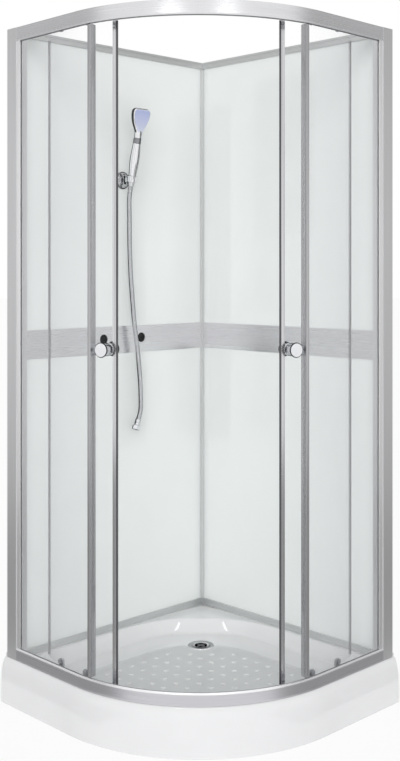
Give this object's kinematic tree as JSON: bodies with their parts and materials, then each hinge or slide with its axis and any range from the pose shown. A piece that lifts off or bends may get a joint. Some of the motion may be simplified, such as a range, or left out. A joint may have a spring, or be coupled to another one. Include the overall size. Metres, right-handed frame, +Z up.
{
  "type": "shower cabin",
  "caption": "Quadrant shower cabin with white tray, back wall panels, curved sliding glass doors on rollers and a hand shower.",
  "frame": {"origin": "bottom centre of the cabin's square, on the floor", "axes": "+Z up; the room corner is at -X +Y, the curved front with its doors looks to +X -Y, the shower hangs on the -X wall"},
  "size_m": [0.9, 0.9, 2.15],
  "materials": {
    "acrylic": "glossy white acrylic",
    "frame_steel": "grey powder coat",
    "zinc": "zinc plated",
    "pad_plastic": "black rubber",
    "drain_chrome": "polished",
    "drain_dark": "dark polished",
    "seal_rubber": "dark soft seal",
    "trap_plastic": "white moulded plastic",
    "satin_aluminium": "satin anodised",
    "profile_aluminium": "satin anodised, lighter",
    "channel_aluminium": "bright anodised",
    "band_aluminium": "brushed",
    "wall_white": "smooth white panel",
    "clear_glass": "clear tempered glass",
    "knob_chrome": "polished",
    "roller_grey": "grey moulded plastic",
    "wheel_white": "white moulded plastic",
    "rosette_chrome": "polished",
    "handset_chrome": "chrome plated plastic",
    "spray_blue": "soft lavender blue",
    "hose_metal": "spiral wound metal"
  },
  "bodies": {
    "root": {"tray": "acrylic", "tray_frame": "frame_steel", "foot_studs": "zinc", "foot_nuts": "zinc", "foot_pads": "pad_plastic", "drain_flange": "drain_chrome", "drain_gasket": "seal_rubber", "drain_grate": "drain_dark", "drain_trap": "trap_plastic", "corner_post": "satin_aluminium", "left_stile": "satin_aluminium", "right_stile": "satin_aluminium", "left_top_bar": "satin_aluminium", "right_top_bar": "satin_aluminium", "left_sill_bar": "satin_aluminium", "right_sill_bar": "satin_aluminium", "left_band": "band_aluminium", "right_band": "band_aluminium", "left_upper_panel": "wall_white", "right_upper_panel": "wall_white", "left_lower_panel": "wall_white", "right_lower_panel": "wall_white", "left_post": "satin_aluminium", "right_post": "satin_aluminium", "left_glazing_channel": "channel_aluminium", "right_glazing_channel": "channel_aluminium", "top_rail": "satin_aluminium", "bottom_rail": "satin_aluminium", "glazing_gaskets": "seal_rubber", "left_fixed_glass": "clear_glass", "right_fixed_glass": "clear_glass", "left_edge_profile": "profile_aluminium", "right_edge_profile": "profile_aluminium", "door_stops": "seal_rubber", "frame_screws": "zinc", "shower_rosette": "rosette_chrome", "hose": "hose_metal", "hose_nut": "hose_metal"},
    "left_door": {"left_door_glass": "clear_glass", "left_lead_profile": "profile_aluminium", "left_door_seals": "seal_rubber", "left_door_knobs": "knob_chrome", "left_roller_holders": "roller_grey"},
    "right_door": {"right_door_glass": "clear_glass", "right_lead_profile": "profile_aluminium", "right_door_seals": "seal_rubber", "right_door_knobs": "knob_chrome", "right_roller_holders": "roller_grey"},
    "holder": {"shower_cradle": "rosette_chrome"},
    "handset": {"handset": "handset_chrome", "spray_face": "spray_blue", "cone_nut": "hose_metal"},
    "left_top_lead_wheel": {"left_top_lead_wheel": "wheel_white"},
    "left_top_trail_wheel": {"left_top_trail_wheel": "wheel_white"},
    "left_low_lead_wheel": {"left_low_lead_wheel": "wheel_white"},
    "left_low_trail_wheel": {"left_low_trail_wheel": "wheel_white"},
    "right_top_lead_wheel": {"right_top_lead_wheel": "wheel_white"},
    "right_top_trail_wheel": {"right_top_trail_wheel": "wheel_white"},
    "right_low_lead_wheel": {"right_low_lead_wheel": "wheel_white"},
    "right_low_trail_wheel": {"right_low_trail_wheel": "wheel_white"}
  },
  "joints": [
    {"name": "left_door", "type": "hinge", "parent": "root", "child": "left_door", "pos_m": [-0.119, 0.2, 1.1], "axis": [0, 0, 1], "range_deg": [0, 24.3]},
    {"name": "right_door", "type": "hinge", "parent": "root", "child": "right_door", "pos_m": [-0.2, 0.119, 1.1], "axis": [0, 0, 1], "range_deg": [-24.6, 0]},
    {"name": "left_top_lead_wheel", "type": "hinge", "parent": "left_door", "child": "left_top_lead_wheel", "pos_m": [-0.08359, -0.41155, 2.1248], "axis": [0.108, -0.9942, 0], "continuous": true},
    {"name": "left_top_trail_wheel", "type": "hinge", "parent": "left_door", "child": "left_top_trail_wheel", "pos_m": [-0.21619, -0.40692, 2.1248], "axis": [-0.1564, -0.9877, 0], "continuous": true},
    {"name": "left_low_lead_wheel", "type": "hinge", "parent": "left_door", "child": "left_low_lead_wheel", "pos_m": [-0.08359, -0.41155, 0.1588], "axis": [0.108, -0.9942, 0], "continuous": true},
    {"name": "left_low_trail_wheel", "type": "hinge", "parent": "left_door", "child": "left_low_trail_wheel", "pos_m": [-0.21619, -0.40692, 0.1588], "axis": [-0.1564, -0.9877, 0], "continuous": true},
    {"name": "right_top_lead_wheel", "type": "hinge", "parent": "right_door", "child": "right_top_lead_wheel", "pos_m": [0.41173, 0.08679, 2.1248], "axis": [0.9947, -0.1028, 0], "continuous": true},
    {"name": "right_top_trail_wheel", "type": "hinge", "parent": "right_door", "child": "right_top_trail_wheel", "pos_m": [0.4064, 0.21937, 2.1248], "axis": [0.9869, 0.1616, 0], "continuous": true},
    {"name": "right_low_lead_wheel", "type": "hinge", "parent": "right_door", "child": "right_low_lead_wheel", "pos_m": [0.41173, 0.08679, 0.1588], "axis": [0.9947, -0.1028, 0], "continuous": true},
    {"name": "right_low_trail_wheel", "type": "hinge", "parent": "right_door", "child": "right_low_trail_wheel", "pos_m": [0.4064, 0.21937, 0.1588], "axis": [0.9869, 0.1616, 0], "continuous": true},
    {"name": "holder_tilt", "type": "hinge", "parent": "root", "child": "holder", "pos_m": [-0.389, 0.027, 1.691], "axis": [0, 1, 0], "range_deg": [-15, 15], "deforming": ["hose"]},
    {"name": "handset_turn", "type": "hinge", "parent": "holder", "child": "handset", "pos_m": [-0.37, 0.027, 1.669], "axis": [0.213, 0, 0.977], "range_deg": [-60, 60]}
  ],
  "couplings": [
    {"joint": "left_top_lead_wheel", "follows": "left_door", "ratio": -71.976},
    {"joint": "left_top_trail_wheel", "follows": "left_door", "ratio": -72.312},
    {"joint": "left_low_lead_wheel", "follows": "left_door", "ratio": -71.976},
    {"joint": "left_low_trail_wheel", "follows": "left_door", "ratio": -72.312},
    {"joint": "right_top_lead_wheel", "follows": "right_door", "ratio": -71.976},
    {"joint": "right_top_trail_wheel", "follows": "right_door", "ratio": -72.312},
    {"joint": "right_low_lead_wheel", "follows": "right_door", "ratio": -71.976},
    {"joint": "right_low_trail_wheel", "follows": "right_door", "ratio": -72.312}
  ]
}
